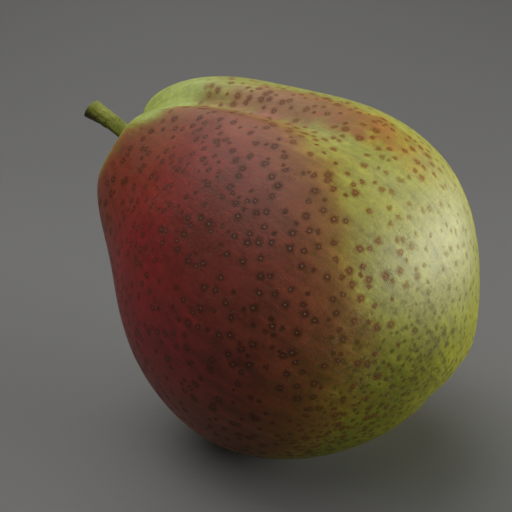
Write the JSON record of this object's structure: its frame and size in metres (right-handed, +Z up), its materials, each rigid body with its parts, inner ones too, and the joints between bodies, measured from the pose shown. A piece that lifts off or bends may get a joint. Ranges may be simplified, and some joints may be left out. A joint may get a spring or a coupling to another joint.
{
  "type": "pear",
  "caption": "Squat blushed pear lying on its side, with two shoulders round a stem cavity, a short woody stem and a dried calyx.",
  "frame": {"origin": "middle of the flat spot that the fruit rests on", "axes": "+Z up from the surface; +X level, away from the stem end, along the fruit's longest extent; +Y level"},
  "size_m": [0.0806, 0.073, 0.0749],
  "materials": {
    "skin": "satin",
    "stem": "matte",
    "calyx": "matte"
  },
  "bodies": {
    "root": {"fruit": "skin", "stem": "stem", "calyx": "calyx"}
  },
  "joints": []
}
